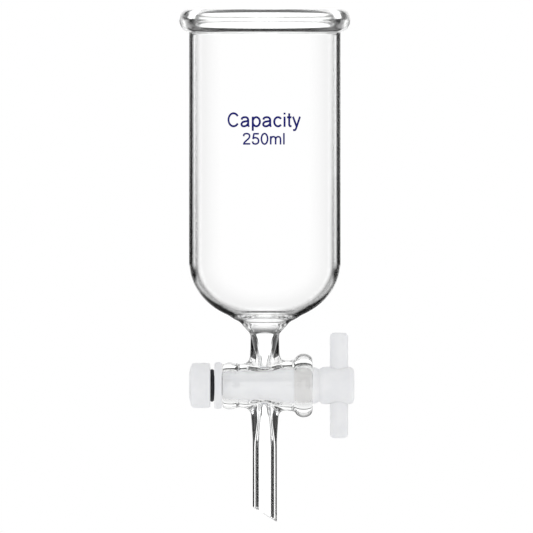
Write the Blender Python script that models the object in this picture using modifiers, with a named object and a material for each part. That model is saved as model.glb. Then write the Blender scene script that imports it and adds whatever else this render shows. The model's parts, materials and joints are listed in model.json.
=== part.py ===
"""Open-topped separatory funnel, nominal 250 ml, with a taper-plug stopcock.

Frame: the vessel's axis is Z, up.  The origin is on that axis at the band where a
clamp holds the tube, just under the beaded rim.  The stopcock's axis is along X,
with the crossbar handle at +X and the lock nut at -X.  The plug is drawn open, so
its cross bore and its crossbar are both along Z.
"""
import math

import bmesh
import bpy
from mathutils import Matrix, Vector

MM = 0.001

# ---------------------------------------------------------------- heights
# Heights below are measured from the stopcock's axis, then moved by AXIS_Z.
CLAMP_HEIGHT = 130.0
AXIS_Z = -CLAMP_HEIGHT * MM

# ---------------------------------------------------------------- vessel
TUBE_OUTER_R = 30.0
TUBE_WALL = 1.8
TUBE_INNER_R = TUBE_OUTER_R - TUBE_WALL
RIM_TOP = 148.6
BEAD_OUTER_R = 33.9
BEAD_MID_HEIGHT = 144.6
BEAD_FOOT_HEIGHT = 139.2
BEAD_FLAT_OUTER_R = 30.9
BOWL_TOP_HEIGHT = 48.7
BOWL_OUTER_DEPTH = 23.8
BOWL_INNER_DEPTH = 22.2
SEAL_R = 14.3
VESSEL_FOOT = 25.1

# ---------------------------------------------------------------- joints between glass sections
GLASS_GAP = 0.3

# ---------------------------------------------------------------- barrel and plug
BARREL_LEFT = -16.7
BARREL_RIGHT = 19.0
SEAT_R_AT_RIGHT = 7.3
TAPER_PER_MM = 0.05
SEAT_CLEARANCE = 0.2
CROSS_BORE_R = 2.0

# ---------------------------------------------------------------- stem
STEM_OUTER_R = 4.8
STEM_BORE_R = 2.9
TIP_SHORT = -48.0
TIP_LONG = -53.9

# ---------------------------------------------------------------- handle
HUB_LEFT = 21.9
HUB_RIGHT = 35.4
HUB_R = 7.4
GROOVE_R = 6.5
BAR_X = 29.3
BAR_R = 3.6
BAR_LENGTH = 41.7
BAR_EDGE = 1.5
BAR_HOLE_CLEARANCE = 0.25

# ---------------------------------------------------------------- tail, washer, ring and nut
TAIL_END = -29.2
THREAD_PITCH = 1.5
THREAD_CREST_R = 4.5
THREAD_ROOT_R = 3.85
THREAD_CLEARANCE = 0.2
TAIL_FLAT = 3.95
WASHER_LEFT = -19.9
WASHER_RIGHT = -17.0
WASHER_R = 9.2
RING_MID = -20.95
RING_OUTER_R = 6.45
RING_INNER_R = 4.75
RING_WIDTH = 1.5
NUT_LEFT = -29.9
NUT_RIGHT = -21.5
NUT_R = 8.9
NUT_RECESS_R = 6.9
NUT_RECESS_DEPTH = 0.5

SEG_LARGE = 48
SEG_MEDIUM = 40
SEG_SMALL = 28
SEG_THREAD = 20


# ---------------------------------------------------------------- scene helpers
def clear_scene():
    for old in list(bpy.data.objects):
        bpy.data.objects.remove(old, do_unlink=True)
    for old in list(bpy.data.collections):
        bpy.data.collections.remove(old)


def new_collection(name):
    coll = bpy.data.collections.new(name)
    bpy.context.scene.collection.children.link(coll)
    return coll


def material(name, colour, roughness, metallic=0.0, transmission=0.0, ior=1.45):
    mat = bpy.data.materials.new(name)
    mat.use_nodes = True
    shader = mat.node_tree.nodes["Principled BSDF"]
    shader.inputs["Base Color"].default_value = (*colour, 1.0)
    shader.inputs["Roughness"].default_value = roughness
    shader.inputs["Metallic"].default_value = metallic
    shader.inputs["Transmission Weight"].default_value = transmission
    shader.inputs["IOR"].default_value = ior
    return mat


# ---------------------------------------------------------------- profile helpers, in mm
def ellipse(centre_r, centre_h, radius_r, radius_h, start, end, count):
    """Points on an ellipse from start to end degrees, both ends included."""
    points = []
    for i in range(count + 1):
        angle = math.radians(start + (end - start) * i / count)
        points.append((centre_r + radius_r * math.cos(angle), centre_h + radius_h * math.sin(angle)))
    return points


def angle_at_radius(radius, full_radius):
    return math.degrees(math.acos(radius / full_radius))


def seat_r(x):
    """Radius of the barrel's tapered seat at x, in mm."""
    return SEAT_R_AT_RIGHT - TAPER_PER_MM * (BARREL_RIGHT - x)


# ---------------------------------------------------------------- solid helpers
def profile_object(name, points, coll, closed, axis):
    """A chain of edges in the XZ plane, (radius, height) in mm, on the vessel's or plug's axis."""
    mesh = bpy.data.meshes.new(name)
    bm = bmesh.new()
    verts = [bm.verts.new((r * MM, 0.0, h * MM)) for r, h in points]
    for first, second in zip(verts, verts[1:]):
        bm.edges.new((first, second))
    if closed:
        bm.edges.new((verts[-1], verts[0]))
    bm.to_mesh(mesh)
    bm.free()
    obj = bpy.data.objects.new(name, mesh)
    coll.objects.link(obj)
    obj.location = (0.0, 0.0, AXIS_Z)
    if axis == "X":
        obj.rotation_euler = (0.0, math.radians(90.0), 0.0)
    return obj


def add_screw(obj, segments):
    screw = obj.modifiers.new("Turn", "SCREW")
    screw.axis = "Z"
    screw.angle = math.radians(360.0)
    screw.screw_offset = 0.0
    screw.iterations = 1
    screw.steps = segments
    screw.render_steps = segments
    screw.use_merge_vertices = True
    screw.merge_threshold = 0.00001
    screw.use_smooth_shade = True


def turned(name, points, coll, segments, closed=False, axis="Z"):
    """A turned solid.  The points run down the outer side, top to bottom."""
    obj = profile_object(name, points, coll, closed, axis)
    add_screw(obj, segments)
    return obj


def rod(name, radius, length, location, axis, coll, segments):
    """A plain cylinder from the primitive, along X or Z, centred on location in metres."""
    mesh = bpy.data.meshes.new(name)
    bm = bmesh.new()
    bmesh.ops.create_cone(
        bm,
        cap_ends=True,
        segments=segments,
        radius1=radius * MM,
        radius2=radius * MM,
        depth=length * MM,
    )
    if axis == "X":
        bmesh.ops.rotate(bm, cent=(0, 0, 0), matrix=Matrix.Rotation(math.radians(90.0), 3, "Y"), verts=bm.verts)
    bm.to_mesh(mesh)
    bm.free()
    obj = bpy.data.objects.new(name, mesh)
    coll.objects.link(obj)
    obj.location = location
    return obj


def box(name, size, location, rotation, coll):
    mesh = bpy.data.meshes.new(name)
    bm = bmesh.new()
    bmesh.ops.create_cube(bm, size=1.0)
    bmesh.ops.scale(bm, vec=Vector(size) * MM, verts=bm.verts)
    bm.to_mesh(mesh)
    bm.free()
    obj = bpy.data.objects.new(name, mesh)
    coll.objects.link(obj)
    obj.location = location
    obj.rotation_euler = rotation
    return obj


def thread_ridge(name, root_r, crest_r, half_root, half_crest, start_x, turns, coll):
    """A helical ridge along +X, right-handed: a closed section turned with an offset per turn."""
    section = [
        (crest_r, half_crest),
        (crest_r, -half_crest),
        (root_r, -half_root),
        (root_r, half_root),
    ]
    guide = profile_object(name + "_section", section, coll, True, "X")
    screw = guide.modifiers.new("Helix", "SCREW")
    screw.axis = "Z"
    screw.angle = math.radians(360.0)
    screw.screw_offset = THREAD_PITCH * MM
    screw.iterations = turns
    screw.steps = SEG_THREAD
    screw.render_steps = SEG_THREAD
    screw.use_merge_vertices = False
    screw.merge_threshold = 0.00001
    screw.use_smooth_shade = False
    # The swept section is open at its two ends, so the ends are filled on the evaluated mesh.
    bpy.context.view_layer.update()
    mesh = bpy.data.meshes.new_from_object(guide.evaluated_get(bpy.context.evaluated_depsgraph_get()))
    bm = bmesh.new()
    bm.from_mesh(mesh)
    bmesh.ops.holes_fill(bm, edges=[edge for edge in bm.edges if edge.is_boundary], sides=4)
    bmesh.ops.recalc_face_normals(bm, faces=bm.faces)
    bm.to_mesh(mesh)
    bm.free()
    bpy.data.objects.remove(guide, do_unlink=True)
    obj = bpy.data.objects.new(name, mesh)
    coll.objects.link(obj)
    obj.location = (start_x * MM, 0.0, AXIS_Z)
    obj.rotation_euler = (0.0, math.radians(90.0), 0.0)
    return obj


def boolean(obj, other, operation):
    mod = obj.modifiers.new(operation.title() + " " + other.name, "BOOLEAN")
    mod.operation = operation
    mod.solver = "EXACT"
    mod.object = other


def as_guide(obj):
    obj.hide_render = True
    obj.display_type = "WIRE"


def smooth(obj, degrees=35.0):
    obj.data.shade_smooth()
    obj.data.set_sharp_from_angle(angle=math.radians(degrees))


# ---------------------------------------------------------------- profiles
def vessel_profile():
    outer_end = angle_at_radius(SEAL_R, TUBE_OUTER_R)
    inner_end = angle_at_radius(10.3, TUBE_INNER_R)
    points = [(TUBE_INNER_R + 0.9, RIM_TOP)]
    points += ellipse(
        BEAD_FLAT_OUTER_R, BEAD_MID_HEIGHT,
        BEAD_OUTER_R - BEAD_FLAT_OUTER_R, RIM_TOP - BEAD_MID_HEIGHT, 90.0, 0.0, 5,
    )
    points += ellipse(
        TUBE_OUTER_R, BEAD_MID_HEIGHT,
        BEAD_OUTER_R - TUBE_OUTER_R, BEAD_MID_HEIGHT - BEAD_FOOT_HEIGHT, -15.0, -82.0, 4,
    )
    points += [(TUBE_OUTER_R, BEAD_FOOT_HEIGHT - 0.4)]
    points += ellipse(0.0, BOWL_TOP_HEIGHT, TUBE_OUTER_R, BOWL_OUTER_DEPTH, 0.0, -outer_end, 8)
    points += [(11.2, 25.8), (9.6, VESSEL_FOOT)]
    points += [(7.7, VESSEL_FOOT), (8.6, 25.9)]
    points += ellipse(0.0, BOWL_TOP_HEIGHT, TUBE_INNER_R, BOWL_INNER_DEPTH, -inner_end, 0.0, 8)
    points += [(TUBE_INNER_R, RIM_TOP - 1.0), (TUBE_INNER_R + 0.3, RIM_TOP - 0.35)]
    return points


def neck_profile():
    top = VESSEL_FOOT - GLASS_GAP
    outer = [(9.3, top), (8.5, 23.5), (7.1, 21.9), (5.9, 20.5), (5.65, 19.6), (5.9, 11.4), (6.3, 9.8), (7.1, 8.6)]
    outer += [(7.1, 6.5)]
    inner = [(2.0, 6.5), (2.0, 9.5), (2.1, 10.8), (2.45, 12.4), (2.85, 14.0), (3.45, 17.0), (4.0, 19.0)]
    inner += [(4.4, 20.3), (5.1, 22.0), (6.0, 23.5), (7.3, top)]
    return outer + inner


def stem_profile():
    outer = [(6.6, -6.5), (6.6, -9.0), (5.9, -9.9), (5.5, -11.0), (5.1, -17.0), (STEM_OUTER_R, -23.0)]
    outer += [(STEM_OUTER_R, TIP_LONG - 3.0)]
    inner = [(STEM_BORE_R, TIP_LONG - 3.0), (STEM_BORE_R, -23.5), (2.5, -20.0), (2.0, -13.7), (1.75, -10.6)]
    inner += [(1.9, -8.6), (2.0, -7.5), (2.0, -6.5)]
    return outer + inner


def barrel_outer():
    """Outer side of the barrel from its large end at +X down to its small end."""
    points = [(8.9, BARREL_RIGHT)]
    points += ellipse(9.9, 15.2, 2.7, 3.5, 68.0, -68.0, 6)
    points += [(10.2, 10.6), (9.9, 8.0), (8.95, -6.0), (8.6, -9.8)]
    points += ellipse(8.2, -13.7, 1.15, 2.8, 62.0, -62.0, 4)
    points += [(7.8, BARREL_LEFT)]
    return points


def barrel_clearance():
    """The barrel's outer side near the seals, grown by the gap, as a plain tapered solid."""
    return [
        (0.0, 14.0),
        (10.2 + GLASS_GAP, 14.0),
        (10.2 + GLASS_GAP, 10.6),
        (9.9 + GLASS_GAP, 8.0),
        (8.95 + GLASS_GAP, -6.0),
        (8.6 + GLASS_GAP, -9.8),
        (8.6 + GLASS_GAP, -12.0),
        (0.0, -12.0),
    ]


def plug_profile():
    """The plug without thread, bores or flat, from the hub's end face down to the tail's end."""
    fit = SEAT_CLEARANCE
    points = [(0.0, HUB_RIGHT)]
    points += ellipse(HUB_R - 2.1, HUB_RIGHT - 2.1, 2.1, 2.1, 90.0, 0.0, 4)
    points += [(HUB_R, HUB_LEFT + 1.5), (HUB_R - 0.45, HUB_LEFT + 0.5), (GROOVE_R, HUB_LEFT)]
    points += [(GROOVE_R, 21.4), (SEAT_R_AT_RIGHT - 0.1, 19.4), (seat_r(BARREL_RIGHT) - fit, BARREL_RIGHT)]
    points += [(seat_r(-16.9) - fit, -16.9), (THREAD_ROOT_R, -16.9), (THREAD_ROOT_R, TAIL_END), (0.0, TAIL_END)]
    return points


def washer_profile():
    edge = 0.7
    points = [(0.0, WASHER_RIGHT)]
    points += ellipse(WASHER_R - edge, WASHER_RIGHT - edge, edge, edge, 90.0, 0.0, 2)
    points += ellipse(WASHER_R - edge, WASHER_LEFT + edge, edge, edge, 0.0, -90.0, 2)
    points += [(0.0, WASHER_LEFT)]
    return points


def ring_profile():
    mid_r = (RING_OUTER_R + RING_INNER_R) / 2.0
    half_r = (RING_OUTER_R - RING_INNER_R) / 2.0
    return ellipse(mid_r, RING_MID, half_r, RING_WIDTH / 2.0, 90.0, -240.0, 11)


def nut_profile():
    """The nut with its ring recess, still solid where the thread goes."""
    floor = NUT_RIGHT - NUT_RECESS_DEPTH
    points = [(0.0, floor), (NUT_RECESS_R, floor), (NUT_RECESS_R, NUT_RIGHT)]
    points += ellipse(NUT_R - 0.8, NUT_RIGHT - 0.8, 0.8, 0.8, 90.0, 0.0, 2)
    points += ellipse(NUT_R - 2.0, NUT_LEFT + 1.6, 2.0, 1.6, 0.0, -75.0, 3)
    points += [(5.4, NUT_LEFT), (0.0, NUT_LEFT)]
    return points


# ---------------------------------------------------------------- build
def build():
    clear_scene()
    parts = new_collection("separatory_funnel")
    tools = new_collection("cutters")

    glass = material("borosilicate_glass", (0.94, 0.96, 0.96), 0.02, transmission=1.0, ior=1.473)
    ptfe = material("white_ptfe", (0.86, 0.87, 0.88), 0.42)
    rubber = material("black_rubber", (0.02, 0.02, 0.025), 0.55)

    # Glass sections, fused to each other in use.
    vessel = turned("vessel", vessel_profile(), parts, SEG_LARGE, closed=True)
    vessel.data.materials.append(glass)

    neck = turned("outlet_neck", neck_profile(), parts, SEG_SMALL, closed=True)
    neck.data.materials.append(glass)

    stem = turned("drip_stem", stem_profile(), parts, SEG_SMALL, closed=True)
    stem.data.materials.append(glass)

    barrel_points = barrel_outer()
    barrel_points += [(seat_r(BARREL_LEFT), BARREL_LEFT), (seat_r(BARREL_RIGHT), BARREL_RIGHT)]
    barrel = turned("stopcock_barrel", barrel_points, parts, SEG_MEDIUM, closed=True, axis="X")
    barrel.data.materials.append(glass)

    saddle = turned("saddle_cutter", barrel_clearance(), tools, SEG_MEDIUM, axis="X")
    as_guide(saddle)
    boolean(neck, saddle, "DIFFERENCE")
    boolean(stem, saddle, "DIFFERENCE")

    side_holes = rod("side_hole_cutter", CROSS_BORE_R, 40.0, (0.0, 0.0, AXIS_Z), "Z", tools, 24)
    as_guide(side_holes)
    boolean(barrel, side_holes, "DIFFERENCE")

    # The tip is ground to a slope, long on the handle's side.
    slope = math.atan2(TIP_SHORT - TIP_LONG, 2.0 * STEM_OUTER_R)
    tip_height = (TIP_SHORT + TIP_LONG) / 2.0
    normal = Vector((-math.sin(slope), 0.0, -math.cos(slope)))
    tip_centre = Vector((0.0, 0.0, AXIS_Z + tip_height * MM)) + normal * 15.0 * MM
    tip = box("tip_cutter", (40.0, 30.0, 30.0), tip_centre, (0.0, slope, 0.0), tools)
    as_guide(tip)
    boolean(stem, tip, "DIFFERENCE")

    # Plug, with its origin on its own axis.
    plug = turned("stopcock_plug", plug_profile(), parts, SEG_MEDIUM, axis="X")
    plug.data.materials.append(ptfe)

    ridge = thread_ridge(
        "tail_thread", THREAD_ROOT_R - 0.25, THREAD_CREST_R, 0.62, 0.2, -28.3, 5, tools,
    )
    as_guide(ridge)
    boolean(plug, ridge, "UNION")

    flat = box("flat_cutter", (16.0, 4.0, 12.0), (-25.1 * MM, (-TAIL_FLAT - 2.0) * MM, AXIS_Z), (0, 0, 0), tools)
    as_guide(flat)
    boolean(plug, flat, "DIFFERENCE")

    cross_bore = rod("cross_bore_cutter", CROSS_BORE_R, 40.0, (0.0, 0.0, AXIS_Z), "Z", tools, 24)
    as_guide(cross_bore)
    boolean(plug, cross_bore, "DIFFERENCE")

    bar_hole = rod(
        "bar_hole_cutter", BAR_R + BAR_HOLE_CLEARANCE, 30.0, (BAR_X * MM, 0.0, AXIS_Z), "Z", tools, SEG_SMALL,
    )
    as_guide(bar_hole)
    boolean(plug, bar_hole, "DIFFERENCE")

    bar = rod("handle_bar", BAR_R, BAR_LENGTH, (BAR_X * MM, 0.0, AXIS_Z), "Z", parts, SEG_SMALL)
    bar.data.materials.append(ptfe)
    bevel = bar.modifiers.new("Rounded ends", "BEVEL")
    bevel.width = BAR_EDGE * MM
    bevel.segments = 2
    bevel.limit_method = "ANGLE"
    bevel.angle_limit = math.radians(60.0)

    # Washer, with a hole that fits the flat on the tail so that it turns with the plug.
    washer = turned("washer", washer_profile(), parts, SEG_MEDIUM, axis="X")
    washer.data.materials.append(ptfe)
    hole = rod("washer_hole_cutter", THREAD_CREST_R + 0.3, 10.0, (-18.5 * MM, 0.0, AXIS_Z), "X", tools, 24)
    key = box("washer_key_cutter", (14.0, 4.0, 12.0), (-18.5 * MM, (-TAIL_FLAT - 2.3) * MM, AXIS_Z), (0, 0, 0), tools)
    as_guide(hole)
    as_guide(key)
    boolean(hole, key, "DIFFERENCE")
    boolean(washer, hole, "DIFFERENCE")

    ring = turned("o_ring", ring_profile(), parts, SEG_SMALL, closed=True, axis="X")
    ring.data.materials.append(rubber)

    nut = turned("lock_nut", nut_profile(), parts, SEG_MEDIUM, axis="X")
    nut.data.materials.append(ptfe)
    core = rod(
        "nut_core_cutter", THREAD_ROOT_R + THREAD_CLEARANCE, 14.0, (-26.0 * MM, 0.0, AXIS_Z), "X", tools, 24,
    )
    groove = thread_ridge(
        "nut_thread_cutter",
        THREAD_ROOT_R - 0.25,
        THREAD_CREST_R + THREAD_CLEARANCE,
        0.62 + THREAD_CLEARANCE * 0.45,
        0.2 + THREAD_CLEARANCE,
        -28.3 - 2 * THREAD_PITCH,
        8,
        tools,
    )
    as_guide(core)
    as_guide(groove)
    boolean(nut, core, "DIFFERENCE")
    boolean(nut, groove, "DIFFERENCE")

    for obj in parts.objects:
        smooth(obj)


build()
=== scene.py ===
"""Looks of the separatory funnel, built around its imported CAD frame.

Lengths in the profiles are millimetres, and heights are measured from the stopcock's
axis, which the frame's record gives.  place() turns them into the row frame's metres.
Heights in the materials are metres above the same axis.
"""

import json
import math

import bmesh
import bpy
import numpy as np
from mathutils import Matrix, Vector


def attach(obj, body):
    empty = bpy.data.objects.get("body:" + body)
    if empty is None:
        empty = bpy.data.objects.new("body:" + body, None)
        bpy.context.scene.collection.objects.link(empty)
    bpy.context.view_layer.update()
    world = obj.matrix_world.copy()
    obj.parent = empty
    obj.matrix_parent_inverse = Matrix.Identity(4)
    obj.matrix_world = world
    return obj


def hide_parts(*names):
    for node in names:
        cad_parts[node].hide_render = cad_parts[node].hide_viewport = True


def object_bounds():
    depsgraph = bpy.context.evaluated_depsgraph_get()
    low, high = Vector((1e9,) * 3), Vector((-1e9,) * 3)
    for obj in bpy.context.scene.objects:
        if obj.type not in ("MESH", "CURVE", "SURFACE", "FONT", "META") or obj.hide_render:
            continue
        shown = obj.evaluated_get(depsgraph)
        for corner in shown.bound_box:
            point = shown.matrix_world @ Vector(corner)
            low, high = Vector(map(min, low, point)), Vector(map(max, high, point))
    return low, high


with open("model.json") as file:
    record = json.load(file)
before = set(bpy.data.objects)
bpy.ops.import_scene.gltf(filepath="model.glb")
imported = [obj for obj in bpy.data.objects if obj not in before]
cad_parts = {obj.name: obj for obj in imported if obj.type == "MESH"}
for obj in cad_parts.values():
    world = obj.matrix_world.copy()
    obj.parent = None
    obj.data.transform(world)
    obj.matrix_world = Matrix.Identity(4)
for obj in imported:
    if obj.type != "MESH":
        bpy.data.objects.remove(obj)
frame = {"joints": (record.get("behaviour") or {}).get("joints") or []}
cad_low, cad_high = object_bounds()

MM = 0.001
JOINTS = {joint["name"]: joint for joint in frame["joints"]}
AXIS_Z = JOINTS["stopcock_turn"]["pos_m"][2]

# ---------------------------------------------------------------- sizes in mm
# They are the CAD model's, but for the rim's top, the bead's foot and the bowl's shape, which differ from
# it by up to 0.4 mm.
TUBE_R = 30.0
BORE_R = 28.2
RIM_TOP = 148.6
BEAD_R = 33.88
BEAD_MID = 144.6
BEAD_FOOT = 139.6
RIM_FLAT_R = 30.2
LIP_ROUND = 1.1
WALL_TOP = 138.4
BOWL_TOP = 48.7
BOWL_DEPTH_OUT = 23.8
BOWL_DEPTH_IN = 22.2
BOWL_POWER = 2 / 2.08
BARREL_LEFT = -16.7
BARREL_RIGHT = 19.0
SEAT_R_RIGHT = 7.3
SEAT_SLOPE = 0.05
RIGHT_BEAD = (9.75, 15.35, 2.85, 3.62)  # middle of the section out from the axis and along it, half sizes
LEFT_BEAD = (8.35, -13.75, 1.05, 2.75)
CROSS_BORE_R = 2.0
STEM_R = 4.8
STEM_BORE_R = 2.9
STEM_STRAIGHT = -30.0
TIP_SHORT = -48.0
TIP_LONG = -53.9
TIP_BEND = 9.0
GLASS_IOR = 1.473


# ================================================================ geometry helpers
def smooth_curve(points, step):
    """Catmull-Rom curve through (radius, height) points, sampled about every step mm."""
    pts = [np.array(p, float) for p in points]
    pts = [2 * pts[0] - pts[1]] + pts + [2 * pts[-1] - pts[-2]]
    out = []
    for a, b, c, d in zip(pts, pts[1:], pts[2:], pts[3:]):
        n = max(2, int(math.ceil(np.linalg.norm(c - b) / step)))
        for i in range(n):
            t = i / n
            out.append(tuple(0.5 * (
                2 * b + (c - a) * t + (2 * a - 5 * b + 4 * c - d) * t * t
                + (3 * b - a - 3 * c + d) * t ** 3
            )))
    out.append(tuple(pts[-2]))
    return out


def arc(cr, ch, rr, rh, start, end, n):
    """Stretch of an ellipse round (cr, ch), between two angles in degrees."""
    return [
        (cr + rr * math.cos(math.radians(start + (end - start) * i / n)),
         ch + rh * math.sin(math.radians(start + (end - start) * i / n)))
        for i in range(n + 1)
    ]


def bowl_arc(radius, depth, end, n):
    """Quarter of a slightly squared ellipse, from the tube's wall down and in."""
    out = []
    for i in range(n + 1):
        a = math.radians(end * i / n)
        r, down = radius * math.cos(a) ** BOWL_POWER, depth * math.sin(a) ** BOWL_POWER
        out.append((r, BOWL_TOP - down))
    return out


def straight(a, b, n):
    """Points from a to b in n equal steps."""
    return [(a[0] + (b[0] - a[0]) * i / n, a[1] + (b[1] - a[1]) * i / n) for i in range(n + 1)]


def chain(*parts):
    """Joins stretches of profile and drops repeated points."""
    out = []
    for part in parts:
        for p in part:
            if not out or math.dist(p, out[-1]) > 1e-4:
                out.append(p)
    return out


def lathe(name, profile, segments, axis="Z", closed=False):
    """Mesh object turned from (radius, height) points that run down its outer side.  A point at
    radius 0 becomes a pole.  Local axes are the row frame's, with heights from the stopcock axis."""
    verts, rings = [], []
    for r, h in profile:
        if r < 1e-6:
            rings.append([len(verts)])
            verts.append((0.0, 0.0, h))
            continue
        rings.append(list(range(len(verts), len(verts) + segments)))
        for k in range(segments):
            a = 2 * math.pi * k / segments
            verts.append((r * math.cos(a), r * math.sin(a), h))
    faces = []
    pairs = list(zip(rings, rings[1:] + ([rings[0]] if closed else [])))
    if not closed:
        pairs = pairs[: len(rings) - 1]
    for up, low in pairs:
        for k in range(segments):
            k2 = (k + 1) % segments
            quad = [up[k % len(up)], low[k % len(low)], low[k2 % len(low)], up[k2 % len(up)]]
            quad = list(dict.fromkeys(quad))
            if len(quad) > 2:
                faces.append(quad)
    co = np.array(verts, float)
    if axis == "X":
        co = np.stack([co[:, 2], co[:, 1], -co[:, 0]], axis=1)
    mesh = bpy.data.meshes.new(name)
    mesh.from_pydata(co.tolist(), [], faces)
    mesh.update()
    return new_object(name, mesh)


def new_object(name, mesh):
    obj = bpy.data.objects.new(name, mesh)
    bpy.context.scene.collection.objects.link(obj)
    return obj


def rod(name, radius, start, end, segments, axis="Z"):
    return lathe(name, [(0, end), (radius, end), (radius, start), (0, start)], segments, axis)


def combine(obj, other, operation, own_overlaps=False):
    """Exact boolean, applied at once, which uses the other object up."""
    mod = obj.modifiers.new("cut", "BOOLEAN")
    mod.use_self = own_overlaps
    mod.operation = operation
    mod.solver = "EXACT"
    mod.object = other
    bpy.context.view_layer.update()
    mesh = bpy.data.meshes.new_from_object(obj.evaluated_get(bpy.context.evaluated_depsgraph_get()))
    obj.modifiers.clear()
    obj.data = mesh
    bpy.data.objects.remove(other, do_unlink=True)


def place(obj):
    """Millimetres round the stopcock axis become metres in the row frame."""
    obj.data.transform(Matrix.Translation((0, 0, AXIS_Z)) @ Matrix.Scale(MM, 4))


def shade(obj, degrees=40.0):
    obj.data.shade_smooth()
    obj.data.set_sharp_from_angle(angle=math.radians(degrees))


def helix(name, root_r, crest_r, half_root, half_crest, start_x, turns, pitch, segments):
    """A closed helical ridge along +X, right-handed."""
    verts, faces = [], []
    count = turns * segments
    for i in range(count + 1):
        a = 2 * math.pi * i / segments
        x = start_x + pitch * i / segments
        for r, dx in ((crest_r, half_crest), (crest_r, -half_crest),
                      (root_r, -half_root), (root_r, half_root)):
            verts.append((x + dx, r * math.sin(a), -r * math.cos(a)))
    for i in range(count):
        for k in range(4):
            a, b = 4 * i + k, 4 * i + (k + 1) % 4
            faces.append((a, b, b + 4, a + 4))
    faces.append((3, 2, 1, 0))
    faces.append((4 * count, 4 * count + 1, 4 * count + 2, 4 * count + 3))
    mesh = bpy.data.meshes.new(name)
    mesh.from_pydata(verts, [], faces)
    bm = bmesh.new()
    bm.from_mesh(mesh)
    bmesh.ops.recalc_face_normals(bm, faces=bm.faces)
    bm.to_mesh(mesh)
    bm.free()
    return new_object(name, mesh)


# ================================================================ the glass
def seat_r(x):
    """Radius of the barrel's tapered hole at a place along X."""
    return SEAT_R_RIGHT - SEAT_SLOPE * (BARREL_RIGHT - x)


def outer_profile():
    """Outer side of vessel and neck, from the middle of the rim's top down into the barrel."""
    rim = chain(
        [(0.0, RIM_TOP), (BORE_R - 1.0, RIM_TOP)],
        straight((BORE_R + 0.2, RIM_TOP), (RIM_FLAT_R, RIM_TOP), 4),
        arc(RIM_FLAT_R, BEAD_MID, BEAD_R - RIM_FLAT_R, RIM_TOP - BEAD_MID, 90, 0, 24),
        arc(TUBE_R, BEAD_MID, BEAD_R - TUBE_R, BEAD_MID - BEAD_FOOT, 0, -84, 26),
    )
    foot = smooth_curve([rim[-1], (30.16, 139.5), (30.04, 139.28), (TUBE_R, 139.0),
                         (TUBE_R, WALL_TOP + 0.3), (TUBE_R, WALL_TOP)], 0.08)
    wall = straight((TUBE_R, WALL_TOP), (TUBE_R, BOWL_TOP), 60)
    bowl = bowl_arc(TUBE_R, BOWL_DEPTH_OUT, 59.5, 44)
    seal = smooth_curve([
        bowl[-1], (14.3, 27.45), (13.1, 26.7), (11.7, 25.9), (10.4, 25.2), (9.4, 24.5), (8.6, 23.5),
        (7.3, 22.1), (6.2, 20.9), (5.75, 20.0), (5.65, 18.6), (5.72, 15.5), (5.88, 11.5), (5.95, 9.0),
        (5.95, 3.0),
    ], 0.3)
    return chain(rim, foot, wall, bowl, seal, [(0.0, 3.0)])


def inner_profile():
    """The hollow, from above the rim down through the neck into the barrel's seat."""
    lip_r, above = BORE_R + LIP_ROUND, RIM_TOP + 4
    lip = chain([(0.0, above), (lip_r, above), (lip_r, RIM_TOP + 0.05)],
                arc(lip_r, RIM_TOP - LIP_ROUND, LIP_ROUND, LIP_ROUND, 90, 180, 10))
    wall = straight((BORE_R, RIM_TOP - 1.2), (BORE_R, BOWL_TOP), 60)
    bowl = bowl_arc(BORE_R, BOWL_DEPTH_IN, 65, 46)
    throat = smooth_curve([
        bowl[-1], (10.3, 27.7), (9.2, 26.8), (8.1, 25.6), (7.1, 24.6), (6.0, 23.4), (5.1, 22.0), (4.4, 20.3),
        (4.0, 19.0), (3.45, 17.0), (2.85, 14.0), (2.45, 12.4), (2.15, 10.8), (2.02, 9.4),
        (CROSS_BORE_R, 8.0), (CROSS_BORE_R, 6.5), (CROSS_BORE_R, 5.0),
    ], 0.3)
    return chain(lip, wall, bowl, throat, [(0.0, 5.0)])


def barrel_profile():
    """Outer side of the stopcock's barrel, from its right end to its left."""
    return chain(
        [(0.0, BARREL_RIGHT)],
        straight((7.0, BARREL_RIGHT), (8.6, BARREL_RIGHT), 2),
        arc(*RIGHT_BEAD, 78, -60, 34),
        smooth_curve([(10.55, 11.75), (10.2, 10.9), (10.05, 9.9), (9.85, 8.0), (9.5, 3.0), (9.1, -3.0),
                      (8.8, -7.6), (8.6, -9.4), (8.62, -10.2), (8.9, -11.0)], 0.3),
        arc(*LEFT_BEAD, 60, -74, 26),
        straight((8.2, BARREL_LEFT), (5.0, BARREL_LEFT), 2),
        [(0.0, BARREL_LEFT)],
    )


def stem_profile():
    """Outer side of the stem, from inside the barrel to its tip, before the tip is slanted."""
    end_round = 0.35
    return chain(
        [(0.0, -3.0)],
        smooth_curve([(5.7, -3.0), (5.7, -9.0), (5.5, -11.0), (5.3, -14.0), (5.1, -17.0), (4.88, -20.5),
                      (STEM_R, -24.0), (STEM_R, STEM_STRAIGHT)], 0.35),
        straight((STEM_R, STEM_STRAIGHT), (STEM_R, TIP_SHORT + 0.6), 20),
        arc(STEM_R - end_round, TIP_SHORT + end_round, end_round, end_round, 0, -90, 8),
        [(0.0, TIP_SHORT)],
    )


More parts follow.
